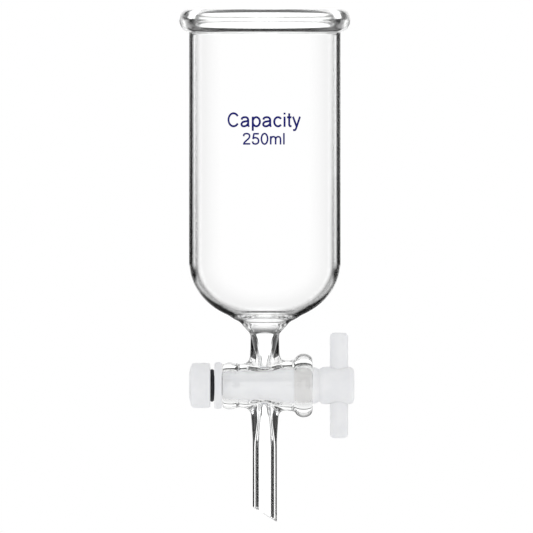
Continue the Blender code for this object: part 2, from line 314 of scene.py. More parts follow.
def stem_bore_profile():
    """The stem's hollow, which flares from the barrel's bore and opens a little at the tip."""
    flare = 0.3
    return chain(
        [(0.0, -5.0)],
        smooth_curve([(2.0, -5.0), (2.0, -7.4), (1.9, -8.8), (1.76, -10.6), (1.84, -12.2), (2.0, -13.9),
                      (2.24, -16.8), (2.52, -19.8), (2.78, -22.2), (2.88, -24.2), (STEM_BORE_R, -26.5),
                      (STEM_BORE_R, STEM_STRAIGHT)], 0.35),
        straight((STEM_BORE_R, STEM_STRAIGHT), (STEM_BORE_R, TIP_SHORT + flare), 20),
        arc(STEM_BORE_R + flare, TIP_SHORT + flare, flare, flare, 180, 268, 6),
        [(STEM_BORE_R + flare, TIP_SHORT - 1.0), (0.0, TIP_SHORT - 1.0)],
    )


def slant_tip(obj):
    """Shears the last stretch of the stem so that its end is a slope, long on the handle's side."""
    middle = (TIP_SHORT + TIP_LONG) / 2
    slope = (TIP_LONG - TIP_SHORT) / (2 * STEM_R)
    top = TIP_SHORT + TIP_BEND
    for v in obj.data.vertices:
        if v.co.z < top:
            t = min(1.0, (top - v.co.z) / (top - TIP_SHORT))
            v.co.z += t * (middle - TIP_SHORT + slope * v.co.x)
    return obj


def soft_min(a, b, k):
    """The smaller of two distances, rounded where they are within k of each other."""
    h = np.clip(k - np.abs(a - b), 0, None) / k
    return np.minimum(a, b) - h * h * k / 4


def by_height(points):
    """Heights and radii of profile points as two arrays, with the heights rising."""
    heights = np.array([h for r, h in points])
    radii = np.array([r for r, h in points])
    order = np.argsort(heights, kind="stable")
    return heights[order], radii[order]


def blend_junctions(obj):
    """Moves the skin near the neck's and stem's roots onto a rounded union, as fused glass flows."""
    fillet = 3.0
    barrel_side = [(r, h) for r, h in barrel_profile() if r > 0.1][3:-3]
    bx, br = by_height(barrel_side[::-1])
    nz, nr = by_height([(r, h) for r, h in outer_profile() if h < 19 and r > 0.1][::-1])
    sz, sr = by_height([(r, h) for r, h in stem_profile() if h > -25 and r > 0.1][::-1])

    def field(p):
        """Distance outside the nearer of the barrel and the pipes."""
        tube = np.hypot(p[:, 1], p[:, 2]) - np.interp(p[:, 0], bx, br)
        rho = np.hypot(p[:, 0], p[:, 1])
        up = rho - np.interp(p[:, 2], nz, nr)
        down = rho - np.interp(p[:, 2], sz, sr)
        pipe = np.where(p[:, 2] > 0, up, down)
        return soft_min(tube, pipe, fillet)

    mesh = obj.data
    co = np.zeros(len(mesh.vertices) * 3)
    mesh.vertices.foreach_get("co", co)
    co = co.reshape(-1, 3)
    # Only the skin round the junctions moves: not the barrel's beads, nor what lies inside it.
    near = (np.abs(co[:, 2]) < 16) & (np.abs(co[:, 0]) < 10.2) & (np.abs(co[:, 2]) > 1.0)
    p = co[near]
    eps = 1e-3
    for _ in range(6):
        f = field(p)
        slopes = [(field(p + eps * e) - field(p - eps * e)) / (2 * eps) for e in np.eye(3)]
        grad = np.stack(slopes, axis=1)
        p = p - grad * (f / np.maximum((grad ** 2).sum(1), 1e-6))[:, None]
    co[near] = p
    mesh.vertices.foreach_set("co", co.ravel())
    mesh.update()


def make_seat():
    """The tapered hole for the plug, with a rounding at each end of the barrel."""
    left, right, left_round, right_round = BARREL_LEFT, BARREL_RIGHT, 0.6, 0.9
    left_r, right_r = seat_r(left) + left_round, seat_r(right) + right_round
    return lathe("seat", chain(
        [(0.0, right + 3), (right_r, right + 3), (right_r, right + 0.02)],
        arc(right_r, right - right_round, right_round, right_round, 90, 180, 6),
        straight((seat_r(right - 1), right - 1), (seat_r(left + 0.7), left + 0.7), 40),
        arc(left_r, left + left_round, left_round, left_round, 180, 270, 6),
        [(left_r, left - 3), (0.0, left - 3)],
    ), 144, "X")


def make_glass():
    body = lathe("glass_body", outer_profile(), 160)
    barrel = lathe("barrel", barrel_profile(), 144, "X")
    stem = slant_tip(lathe("stem", stem_profile(), 112))
    combine(body, barrel, "UNION")
    combine(body, stem, "UNION")
    blend_junctions(body)
    hollow = lathe("hollow", inner_profile(), 160)
    combine(body, hollow, "DIFFERENCE")
    bore = slant_tip(lathe("bore", stem_bore_profile(), 96))
    combine(body, bore, "DIFFERENCE")
    combine(body, make_seat(), "DIFFERENCE")
    place(body)
    shade(body, 50)
    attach(body, "glass_body")
    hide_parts("vessel", "outlet_neck", "stopcock_barrel", "drip_stem")
    return body


# ================================================================ the stopcock's moving pieces
SEAT_PLAY = 0.04
HUB_LEFT = 21.9
HUB_RIGHT = 35.4
HUB_R = 7.4
HUB_ROUND = 2.2
HUB_NECK = 1.4
PLUG_LEFT = -16.3
PLUG_ROUND = 0.5
BAR_X = 29.3
BAR_R = 3.6
BAR_HALF = 20.85
BAR_PLAY = 0.03
BAR_CHAMFER = 0.5
PITCH = 1.5
CREST_R = 4.5
ROOT_R = 3.85
THREAD_START = -28.3
THREAD_FOOT_R = 3.6
THREAD_PLAY = 0.15
FLAT_Y = 3.95
TAIL_END = -29.2


def cube(name, low, high):
    mesh = bpy.data.meshes.new(name)
    bm = bmesh.new()
    bmesh.ops.create_cube(bm, size=1.0)
    low, high = Vector(low), Vector(high)
    size = high - low
    bmesh.ops.scale(bm, vec=size, verts=bm.verts)
    bmesh.ops.translate(bm, vec=(low + high) / 2, verts=bm.verts)
    bm.to_mesh(mesh)
    bm.free()
    return new_object(name, mesh)


def plug_r(x):
    """Radius of the plug in its hole at a place along X."""
    return seat_r(x) - SEAT_PLAY


def make_plug():
    right = BARREL_RIGHT
    flat_top, flat_side = HUB_R - HUB_ROUND, HUB_RIGHT - HUB_ROUND
    points = chain(
        [(0.0, HUB_RIGHT)],
        straight((0.3, HUB_RIGHT), (flat_top, HUB_RIGHT), 3),
        arc(flat_top, flat_side, HUB_ROUND, HUB_ROUND, 90, 0, 14),
        straight((HUB_R, flat_side), (HUB_R, HUB_LEFT + HUB_NECK), 24),
        smooth_curve([(HUB_R, HUB_LEFT + HUB_NECK), (HUB_R - 0.15, HUB_LEFT + 0.8),
                      (HUB_R - 0.55, HUB_LEFT + 0.2), (6.6, 21.75), (6.5, 21.5), (6.62, 21.1), (6.9, 20.5),
                      (7.12, 19.9), (7.2, 19.3), (plug_r(right), 18.6)], 0.12),
        straight((plug_r(right - 1), right - 1), (plug_r(PLUG_LEFT), PLUG_LEFT), 60),
        arc(plug_r(PLUG_LEFT) - PLUG_ROUND, PLUG_LEFT, PLUG_ROUND, PLUG_ROUND, 0, -90, 5),
        [(ROOT_R, -16.8), (ROOT_R, TAIL_END + 0.4), (ROOT_R - 0.4, TAIL_END), (0.0, TAIL_END)],
    )
    plug = lathe("stopcock_plug_ptfe", points, 128, "X")
    ridge = helix("ridge", THREAD_FOOT_R, CREST_R, half_root=0.62, half_crest=0.2,
                  start_x=THREAD_START, turns=5, pitch=PITCH, segments=64)
    combine(plug, ridge, "UNION")
    combine(plug, cube("flat", (-33, -FLAT_Y - 4, -6), (-17.1, -FLAT_Y, 6)), "DIFFERENCE")
    combine(plug, rod("cross", CROSS_BORE_R, -20, 20, 48), "DIFFERENCE")
    hole_r, mouth_r = BAR_R + BAR_PLAY, BAR_R + BAR_CHAMFER
    hole = lathe("bar_hole", [
        (0.0, 12.0), (mouth_r, 12.0), (mouth_r, HUB_R + 0.1), (hole_r, HUB_R - 0.4),
        (hole_r, 0.4 - HUB_R), (mouth_r, -HUB_R - 0.1), (mouth_r, -12.0), (0.0, -12.0),
    ], 72)
    hole.data.transform(Matrix.Translation((BAR_X, 0, 0)))
    combine(plug, hole, "DIFFERENCE")
    place(plug)
    shade(plug, 35)
    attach(plug, "plug")
    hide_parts("stopcock_plug")
    return plug


def make_bar():
    r, h, e = BAR_R, BAR_HALF, 1.7
    points = chain(
        [(0.0, h)], straight((0.2, h), (r - e, h), 3),
        arc(r - e, h - e, e, e, 90, 0, 12),
        straight((r, h - e), (r, e - h), 40),
        arc(r - e, e - h, e, e, 0, -90, 12),
        straight((r - e, -h), (0.2, -h), 3), [(0.0, -h)],
    )
    bar = lathe("handle_bar_ptfe", points, 96)
    bar.data.transform(Matrix.Translation((BAR_X, 0, 0)))
    place(bar)
    shade(bar)
    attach(bar, "plug")
    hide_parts("handle_bar")
    return bar


def make_washer():
    r, left, right, e = 9.2, -19.88, -16.95, 0.75
    points = chain(
        [(0.0, right)], straight((4.0, right), (r - e, right), 4),
        arc(r - e, right - e, e, e, 90, 0, 10),
        arc(r - e, left + e, e, e, 0, -90, 10),
        straight((r - e, left), (4.0, left), 4), [(0.0, left)],
    )
    washer = lathe("washer_ptfe", points, 112, "X")
    hole = rod("hole", CREST_R + THREAD_PLAY, -24, -12, 64, "X")
    combine(hole, cube("key", (-26, -FLAT_Y - 4.1, -6), (-10, -FLAT_Y - 0.1, 6)), "DIFFERENCE")
    combine(washer, hole, "DIFFERENCE")
    place(washer)
    shade(washer)
    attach(washer, "plug")
    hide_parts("washer")
    return washer


def make_ring():
    middle_r, middle_x, thick_r = 5.6, -20.85, 0.85
    section = arc(middle_r, middle_x, thick_r, thick_r, 90, -264, 23)
    ring = lathe("o_ring_rubber", section, 112, "X", closed=True)
    place(ring)
    shade(ring)
    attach(ring, "ring")
    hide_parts("o_ring")
    return ring


def make_nut():
    r, left, right, e = 8.9, -29.88, -21.5, 0.9
    recess_r, floor = 6.9, right - 0.3
    points = chain(
        [(0.0, floor)], straight((3.0, floor), (recess_r, floor), 4), [(recess_r, right)],
        straight((recess_r + 0.05, right), (r - e, right), 2),
        arc(r - e, right - e, e, e, 90, 0, 10),
        straight((r, right - e), (r, left + 2.4), 20),
        smooth_curve([(r, left + 2.4), (r - 0.12, left + 1.7), (r - 0.5, left + 1.1), (r - 1.2, left + 0.65),
                      (r - 2.6, left + 0.3), (5.2, left + 0.05), (4.9, left)], 0.2),
        [(0.0, left)],
    )
    nut = lathe("lock_nut_ptfe", points, 128, "X")
    combine(nut, rod("core", ROOT_R + THREAD_PLAY, -34, -18, 64, "X"), "DIFFERENCE")
    groove = helix("groove", THREAD_FOOT_R, CREST_R + THREAD_PLAY, half_root=0.69, half_crest=0.35,
                   start_x=THREAD_START - 2 * PITCH, turns=8, pitch=PITCH, segments=64)
    combine(nut, groove, "DIFFERENCE")
    place(nut)
    shade(nut, 35)
    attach(nut, "nut")
    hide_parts("lock_nut")
    return nut


# ================================================================ the printed marking
# Pen strokes of a plain sans-serif hand, in LETTER_BODY-ths of the letter's height, with each letter's
# advance.
def oval(cx, cy, rx, ry, start, end, n=36):
    return arc(cx, cy, rx, ry, start, end, n)


def flowing(*points):
    return smooth_curve(points, 60.0)


GLYPHS = {
    "C": (1479, [oval(765, 733, 575, 668, 34, 326)]),
    "a": (1139, [
        flowing((182, 742), (262, 925), (540, 1003), (790, 930), (880, 730), (884, 420), (890, 190),
                (955, 0)),
        flowing((884, 618), (620, 572), (320, 500), (166, 300), (250, 112), (455, 62), (690, 140), (850, 310),
                (884, 450)),
    ]),
    "p": (1139, [[(226, -407), (226, 1062)], oval(594, 531, 368, 470, 0, 360, 40)]),
    "c": (1024, [oval(560, 531, 392, 470, 38, 322)]),
    "i": (455, [[(227, 0), (227, 1062)], [(227, 1276), (227, 1466)]]),
    "t": (569, [
        flowing((272, 1400), (272, 900), (272, 400), (282, 190), (360, 84), (525, 80)),
        [(38, 990), (525, 990)],
    ]),
    "y": (1024, [[(112, 1062), (528, 20)],
                 flowing((912, 1062), (720, 540), (528, 20), (420, -230), (320, -325), (128, -325))]),
    "2": (1139, [
        flowing((152, 1040), (225, 1300), (560, 1392), (860, 1290), (938, 1062), (840, 800), (560, 540),
                (290, 300), (170, 84)),
        [(78, 84), (1028, 84)],
    ]),
    "5": (1139, [
        [(990, 1368), (352, 1368)], [(366, 1430), (236, 690)],
        flowing((212, 712), (340, 818), (560, 866), (835, 760), (958, 480), (850, 175), (560, 62), (280, 140),
                (172, 395)),
    ]),
    "0": (1139, [oval(569, 723, 392, 670, 0, 360, 44)]),
    "m": (1706, [
        [(222, 0), (222, 1062)],
        flowing((222, 590), (300, 880), (545, 996), (780, 905), (852, 650), (852, 300), (852, 0)),
        flowing((852, 590), (930, 880), (1178, 996), (1412, 905), (1484, 650), (1484, 300), (1484, 0)),
    ]),
    "l": (455, [[(222, 0), (222, 1466)]]),
}
LETTER_BODY = 2048.0
PEN = 212.0
INK = 0.02
PROUD = 0.004
STRIP = 0.5


def stroke(verts, faces, points, shift, scale):
    """One pen stroke as a thin closed slab; a stroke that ends where it began becomes a ring."""
    pts = np.array(points, float)
    loop = np.linalg.norm(pts[0] - pts[-1]) < 1.0
    if loop:
        pts = pts[:-1]
        ahead, back = np.roll(pts, -1, axis=0), np.roll(pts, 1, axis=0)
    else:
        ahead = np.vstack([pts[1:], 2 * pts[-1] - pts[-2]])
        back = np.vstack([2 * pts[0] - pts[1], pts[:-1]])
    along = ahead - back
    along /= np.linalg.norm(along, axis=1)[:, None]
    side = np.stack([-along[:, 1], along[:, 0]], axis=1) * PEN / 2
    base = len(verts)
    for p, w in zip(pts, side):
        for q, z in ((p + w, 0.0), (p - w, 0.0), (p - w, INK), (p + w, INK)):
            verts.append(((q[0] + shift) * scale, q[1] * scale, z))
    n = len(pts)
    for i in range(n if loop else n - 1):
        j = (i + 1) % n
        for k in range(4):
            m = (k + 1) % 4
            faces.append((base + 4 * i + k, base + 4 * i + m, base + 4 * j + m, base + 4 * j + k))
    if not loop:
        faces.append((base + 3, base + 2, base + 1, base))
        faces.append(tuple(base + 4 * (n - 1) + k for k in range(4)))


def make_marking(name, words, body, baseline, middle):
    """Enamel lettering: flat strokes bent round the tube, just proud of the glass."""
    verts, faces = [], []
    scale = body / LETTER_BODY
    shift = -sum(GLYPHS[c][0] for c in words) / 2.0
    for c in words:
        advance, strokes = GLYPHS[c]
        for points in strokes:
            stroke(verts, faces, points, shift, scale)
        shift += advance
    mesh = bpy.data.meshes.new(name)
    mesh.from_pydata(verts, [], faces)
    bm = bmesh.new()
    bm.from_mesh(mesh)
    bmesh.ops.recalc_face_normals(bm, faces=bm.faces)
    bm.to_mesh(mesh)
    bm.free()
    obj = new_object(name, mesh)
    # A cut with a far-off cube changes nothing else, but joins the overlapping strokes into one skin.
    combine(obj, cube("far", (90, 90, 90), (91, 91, 91)), "DIFFERENCE", True)
    # Narrow vertical strips, so that the letters follow the curve of the tube.
    bm = bmesh.new()
    bm.from_mesh(obj.data)
    bmesh.ops.triangulate(bm, faces=bm.faces)
    for i in range(-36, 37):
        geom = list(bm.verts) + list(bm.edges) + list(bm.faces)
        bmesh.ops.bisect_plane(bm, geom=geom, dist=1e-6, plane_co=(i * STRIP, 0, 0), plane_no=(1, 0, 0))
    for v in bm.verts:
        r = TUBE_R + PROUD + v.co.z
        a = (v.co.x + middle) / TUBE_R
        v.co = Vector((r * math.sin(a), -r * math.cos(a), baseline + v.co.y))
    bm.to_mesh(obj.data)
    bm.free()
    place(obj)
    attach(obj, "glass_body")
    return obj


# ================================================================ node helpers
def nodes_of(mat):
    mat.use_nodes = True
    tree = mat.node_tree
    tree.nodes.clear()
    out = tree.nodes.new("ShaderNodeOutputMaterial")
    return tree, out


def add(tree, kind, **values):
    node = tree.nodes.new(kind)
    for key, value in values.items():
        setattr(node, key, value)
    return node


def feed(tree, slot, value):
    """Gives an input socket a number, a colour or another node's output."""
    if isinstance(value, (int, float)):
        slot.default_value = value
    elif isinstance(value, tuple):
        slot.default_value = (*value, 1.0)
    else:
        tree.links.new(value, slot)


def calc(tree, operation, *values):
    node = add(tree, "ShaderNodeMath", operation=operation)
    for slot, value in zip(node.inputs, values):
        feed(tree, slot, value)
    return node.outputs[0]


def map_range(tree, value, low, high, to_low=0.0, to_high=1.0, kind="SMOOTHSTEP"):
    node = add(tree, "ShaderNodeMapRange", interpolation_type=kind)
    for name, end in (("From Min", low), ("From Max", high), ("To Min", to_low), ("To Max", to_high)):
        node.inputs[name].default_value = end
    tree.links.new(value, node.inputs["Value"])
    return node.outputs["Result"]


def step_up(tree, value, at, soft):
    return map_range(tree, value, at - soft, at + soft)


def between(tree, value, low, high, soft, strength=1.0):
    """The strength between two values and 0 outside them, with soft ends.  None leaves an end open."""
    inside = strength
    if low is not None:
        inside = calc(tree, "MULTIPLY", step_up(tree, value, low, soft), inside)
    if high is not None:
        past = step_up(tree, value, high, soft)
        inside = calc(tree, "MULTIPLY", calc(tree, "SUBTRACT", 1.0, past), inside)
    return inside


def place_in(tree):
    """X, Y and Z in the row frame at rest, because a piece's origin is the frame's."""
    coord = add(tree, "ShaderNodeTexCoord")
    split = add(tree, "ShaderNodeSeparateXYZ")
    tree.links.new(coord.outputs["Object"], split.inputs[0])
    return split.outputs


def facing_of(tree):
    """0 where a surface is seen square on, 1 where it is seen edge on."""
    edge = add(tree, "ShaderNodeLayerWeight")
    edge.inputs["Blend"].default_value = 0.5
    return edge.outputs["Facing"]


def height_step(tree, height, start, end):
    """0 at one height above the stopcock's axis, 1 at the other, in metres."""
    return map_range(tree, height, AXIS_Z + start, AXIS_Z + end)


def height_between(tree, height, low_ends, high_ends):
    """1 between two heights, each given as where the share is 0 and where it is 1."""
    return calc(tree, "MULTIPLY", height_step(tree, height, *low_ends), height_step(tree, height, *high_ends))


def off_axis_height(tree, height):
    """The height that is as far above the stopcock's axis as this one is above or below it."""
    gap = calc(tree, "ABSOLUTE", calc(tree, "SUBTRACT", height, AXIS_Z))
    return calc(tree, "ADD", gap, AXIS_Z)


def grey(value):
    return (value, value, value)


def ramp(tree, source, stops):
    node = add(tree, "ShaderNodeValToRGB")
    while len(node.color_ramp.elements) < len(stops):
        node.color_ramp.elements.new(0.5)
    for element, (at, colour) in zip(node.color_ramp.elements, stops):
        element.position = at
        element.color = (*colour, 1.0)
    tree.links.new(source, node.inputs["Fac"])
    return node.outputs["Color"]


def mix_colours(tree, factor, first, second):
    node = add(tree, "ShaderNodeMix", data_type="RGBA")
    tree.links.new(factor, node.inputs["Factor"])
    feed(tree, node.inputs[6], first)
    feed(tree, node.inputs[7], second)
    return node.outputs[2]


def mix_shaders(tree, factor, first, second):
    node = add(tree, "ShaderNodeMixShader")
    tree.links.new(factor, node.inputs["Fac"])
    tree.links.new(first.outputs[0], node.inputs[1])
    tree.links.new(second.outputs[0], node.inputs[2])
    return node


def white_light(tree, kind, strength=1.0):
    """A white Background or Emission node."""
    node = add(tree, kind)
    node.inputs["Color"].default_value = (1.0, 1.0, 1.0, 1.0)
    feed(tree, node.inputs["Strength"], strength)
    return node


def object_noise(tree, scale, detail, roughness, stretch=(1, 1, 1)):
    coord = add(tree, "ShaderNodeTexCoord")
    mapping = add(tree, "ShaderNodeMapping")
    mapping.inputs["Scale"].default_value = stretch
    noise = add(tree, "ShaderNodeTexNoise")
    noise.inputs["Scale"].default_value = scale
    noise.inputs["Detail"].default_value = detail
    noise.inputs["Roughness"].default_value = roughness
    tree.links.new(coord.outputs["Object"], mapping.inputs["Vector"])
    tree.links.new(mapping.outputs["Vector"], noise.inputs["Vector"])
    return noise.outputs["Fac"]


def roughen(tree, shader, noise, low, high):
    """Roughness that wanders between two values with the noise."""
    tree.links.new(ramp(tree, noise, [(0.3, grey(low)), (0.7, grey(high))]), shader.inputs["Roughness"])


def emboss(tree, shader, noise, strength, distance):
    bump = add(tree, "ShaderNodeBump")
    bump.inputs["Strength"].default_value = strength
    bump.inputs["Distance"].default_value = distance
    tree.links.new(noise, bump.inputs["Height"])
    tree.links.new(bump.outputs["Normal"], shader.inputs["Normal"])


# ================================================================ materials
BEAD_ROUGHNESS = 0.1
CLEAR = (0.994, 0.998, 0.996)

# What the glass lets through, from seen square on to seen edge on: the tube, the bowl and the neck. The
# darkening towards the edges is painted shade, standing in for the dark surroundings that the edges bend into
# view.
TUBE_PAINTED_SHADE = [(0.15, CLEAR), (0.35, grey(0.95)), (0.62, grey(0.87)), (0.72, grey(0.55)), (0.86, grey(0.3))]
BOWL_PAINTED_SHADE = [(0.15, CLEAR), (0.35, grey(0.97)), (0.56, grey(0.92)), (0.62, grey(0.7)), (0.7, grey(0.12)),
             (0.8, grey(0.04))]
NECK_PAINTED_SHADE = [(0.1, CLEAR), (0.15, grey(0.05)), (0.26, grey(0.05)), (0.31, CLEAR), (0.43, CLEAR),
             (0.52, grey(0.25))]
# Painted shade: a slight greying towards the edges of what a straight view sees through the glass, from seen
# square on to seen edge on.
PAINTED_EDGE_GREY = [(0.2, grey(1.0)), (0.31, grey(0.989)), (0.38, grey(0.98)), (0.55, grey(0.966))]

# Heights above the stopcock's axis, in metres, at which a share is 0 and at which it is 1.  TONE_FROM and
# PIPES_FROM count above and below it alike.
BOWL_SHARE = (0.125, 0.045)
TONE_FROM = (0.0085, 0.0115)
TONE_TO = (0.1405, 0.139)
NECK_FROM = (0.0112, 0.0128)
NECK_TO = (0.0245, 0.0215)
VESSEL_FROM = (0.0285, 0.0315)
VESSEL_TO = (0.1392, 0.1382)
PIPES_FROM = (0.011, 0.013)
PIPES_TO = (0.0315, 0.0285)
BEAD_FROM = (0.1388, 0.1402)

# The neck's bore flares upwards, so facing is multiplied by a factor that falls with height before it goes
# into the neck's painted shade ramp: two heights, and the factor at each.
NECK_FLARE = (0.0132, 0.0199, 1.25, 0.62)
NECK_SKIN_R = 5.2


def painted_neck_shade(tree, place, facing):
    """Painted shade: a dark line inside each edge of the neck, standing in for the dark surroundings that its
    narrow bore bends into view, nearer the middle lower down. It is painted on the neck's outer skin only,
    which every ray that meets the bore has to cross."""
    low, high, low_factor, high_factor = NECK_FLARE
    spread = map_range(tree, place["Z"], AXIS_Z + low, AXIS_Z + high, low_factor, high_factor, "LINEAR")
    bore = ramp(tree, calc(tree, "MULTIPLY", facing, spread), NECK_PAINTED_SHADE)
    around = calc(tree, "ADD", calc(tree, "MULTIPLY", place["X"], place["X"]),
                  calc(tree, "MULTIPLY", place["Y"], place["Y"]))
    skin = calc(tree, "GREATER_THAN", around, (NECK_SKIN_R * MM) ** 2)
    return mix_colours(tree, skin, CLEAR, bore)


def painted_edge_shade(tree, place):
    """Painted shade: the glass's colour is darkened where it is seen edge on, standing in for the dark
    surroundings that its edges bend into view rather than for light it absorbs. The darkening is slight all
    along the tube's wall, much stronger in the bowl, whose wall thickens towards the seal, and shows as a
    dark line inside each edge of the neck."""
    height = place["Z"]
    facing = facing_of(tree)
    painted_tone = mix_colours(tree, height_step(tree, height, *BOWL_SHARE),
                       ramp(tree, facing, TUBE_PAINTED_SHADE), ramp(tree, facing, BOWL_PAINTED_SHADE))
    painted_tone = mix_colours(tree, height_between(tree, height, NECK_FROM, NECK_TO),
                       painted_tone, painted_neck_shade(tree, place, facing))
    painted_zone = calc(tree, "MULTIPLY", height_step(tree, off_axis_height(tree, height), *TONE_FROM),
                 height_step(tree, height, *TONE_TO))
    return mix_colours(tree, painted_zone, CLEAR, painted_tone)


def plain_share(tree, height, camera_ray):
    """How much of a straight view goes through without bending, for light that nothing has bent yet.
    A thin wall seen square on barely shifts what is behind it, while its edges and the thick rim,
    seal and barrel bend light fully."""
    facing = facing_of(tree)
    thin = between(tree, facing, None, 0.58, 0.08)
    thick = between(tree, facing, None, 0.11, 0.05)
    vessel = height_between(tree, height, VESSEL_FROM, VESSEL_TO)
    pipes = calc(tree, "MULTIPLY", height_step(tree, off_axis_height(tree, height), *PIPES_FROM),
                 height_step(tree, height, *PIPES_TO))
    front = calc(tree, "ADD", calc(tree, "MULTIPLY", thin, vessel), calc(tree, "MULTIPLY", thick, pipes))
    side = add(tree, "ShaderNodeNewGeometry")
    share = calc(tree, "MAXIMUM", front, side.outputs["Backfacing"])
    return calc(tree, "MULTIPLY", share, camera_ray)


def glass_material():
    mat = bpy.data.materials.new("borosilicate_glass")
    tree, out = nodes_of(mat)
    place = place_in(tree)
    shader = add(tree, "ShaderNodeBsdfPrincipled")
    shader.inputs["IOR"].default_value = GLASS_IOR
    shader.inputs["Transmission Weight"].default_value = 1.0
    low, high = BEAD_FROM
    bead = map_range(tree, place["Z"], AXIS_Z + low, AXIS_Z + high, 0.0, BEAD_ROUGHNESS)
    tree.links.new(bead, shader.inputs["Roughness"])
    # Base Color carries painted shade: the glass is darkened towards its edges where it is seen edge on.
    tree.links.new(painted_edge_shade(tree, place), shader.inputs["Base Color"])
    emboss(tree, shader, object_noise(tree, 55.0, 2.0, 0.4, (1.0, 1.0, 0.12)), 0.002, 0.0004)
    # Light for the stopcock's pieces and the floor, and part of a straight view, go through unbent.
    path = add(tree, "ShaderNodeLightPath")
    camera_ray = path.outputs["Is Camera Ray"]
    through = add(tree, "ShaderNodeBsdfTransparent")
    # Painted shade: what the camera sees straight through the glass is greyed a little towards its edges.
    painted_grey = ramp(tree, facing_of(tree), PAINTED_EDGE_GREY)
    tree.links.new(mix_colours(tree, camera_ray, grey(1.0), painted_grey), through.inputs["Color"])
    unbent = calc(tree, "MAXIMUM", path.outputs["Is Shadow Ray"], path.outputs["Is Diffuse Ray"])
    unbent = calc(tree, "MAXIMUM", unbent, plain_share(tree, place["Z"], camera_ray))
    tree.links.new(mix_shaders(tree, unbent, shader, through).outputs[0], out.inputs["Surface"])
    return mat


# Painted shade on the plug where the barrel's thick glass beads lie over it and take light from it: bands
# along X in mm, and how much of the darker colour shows.
BEAD_SHADE_BANDS = [(-17.3, -13.6, 0.12), (12.3, 17.0, 0.62)]
BAND_SOFT = 0.3
BEAD_SHADE_COLOUR = (0.66, 0.645, 0.63)


def ptfe_material(name, bands=()):
    mat = bpy.data.materials.new(name)
    tree, out = nodes_of(mat)
    shader = add(tree, "ShaderNodeBsdfPrincipled")
    cloud = object_noise(tree, 160.0, 5.0, 0.6)
    colour = ramp(tree, cloud, [(0.3, (0.835, 0.842, 0.862)), (0.7, (0.888, 0.892, 0.902))])
    # Painted shade: the plug is darkened in bands under the barrel's glass beads.
    for left, right, share in bands:
        along = place_in(tree)["X"]
        bead_shade = between(tree, along, left * MM, right * MM, BAND_SOFT * MM, share)
        colour = mix_colours(tree, bead_shade, colour, BEAD_SHADE_COLOUR)
    tree.links.new(colour, shader.inputs["Base Color"])
    roughen(tree, shader, cloud, 0.36, 0.48)
    shader.inputs["IOR"].default_value = 1.36
    shader.inputs["Subsurface Weight"].default_value = 0.25
    shader.inputs["Subsurface Radius"].default_value = (0.0012, 0.0012, 0.0013)
    shader.inputs["Subsurface Scale"].default_value = 1.0
    emboss(tree, shader, object_noise(tree, 900.0, 3.0, 0.6, (3.0, 0.5, 0.5)), 0.12, 0.0001)
    tree.links.new(shader.outputs[0], out.inputs["Surface"])
    return mat


def rubber_material():
    mat = bpy.data.materials.new("black_rubber")
    tree, out = nodes_of(mat)
    shader = add(tree, "ShaderNodeBsdfPrincipled")
    grain = object_noise(tree, 700.0, 4.0, 0.6)
    tint = ramp(tree, grain, [(0.3, (0.009, 0.009, 0.013)), (0.7, (0.02, 0.02, 0.026))])
    tree.links.new(tint, shader.inputs["Base Color"])
    roughen(tree, shader, grain, 0.42, 0.6)
    emboss(tree, shader, grain, 0.2, 0.00005)
    tree.links.new(shader.outputs[0], out.inputs["Surface"])
    return mat


def enamel_material():
    mat = bpy.data.materials.new("blue_enamel")
    tree, out = nodes_of(mat)
    shader = add(tree, "ShaderNodeBsdfPrincipled")
    grain = object_noise(tree, 1500.0, 3.0, 0.6)
    tint = ramp(tree, grain, [(0.3, (0.003, 0.004, 0.13)), (0.7, (0.008, 0.010, 0.19))])
    tree.links.new(tint, shader.inputs["Base Color"])
    roughen(tree, shader, grain, 0.45, 0.65)
    shader.inputs["Specular IOR Level"].default_value = 0.12
    tree.links.new(shader.outputs[0], out.inputs["Surface"])
    return mat


def paint(obj, mat):
    obj.data.materials.clear()
    obj.data.materials.append(mat)


# ================================================================ studio
# Soft-edged white panels round the object, in degrees: between two turns from straight behind it and
# between two heights, softness of the sides and of the ends, strength.
PANELS = [
    ((None, 10.8), (-11.0, 20.0), 1.8, 2.0, 1.22),
    ((None, 21.0), (2.6, 20.0), 2.0, 0.8, 1.22),
    ((82.0, 98.0), (-22.0, 20.0), 2.0, 3.0, 1.2),
    ((70.0, 110.0), (-22.0, -2.6), 2.0, 0.8, 1.2),
    ((70.0, 110.0), (2.6, 20.0), 2.0, 0.8, 1.2),
    ((26.0, None), (-56.0, -11.0), 2.5, 2.0, 1.05),
    ((169.0, None), (-22.0, 20.0), 1.6, 3.0, 1.2),
    ((159.0, None), (-22.0, -2.6), 2.0, 0.8, 1.2),
    ((159.0, None), (2.6, 20.0), 2.0, 0.8, 1.2),
    ((None, None), (47.0, None), 1.0, 4.0, 0.9),
]
ROOM = 0.03


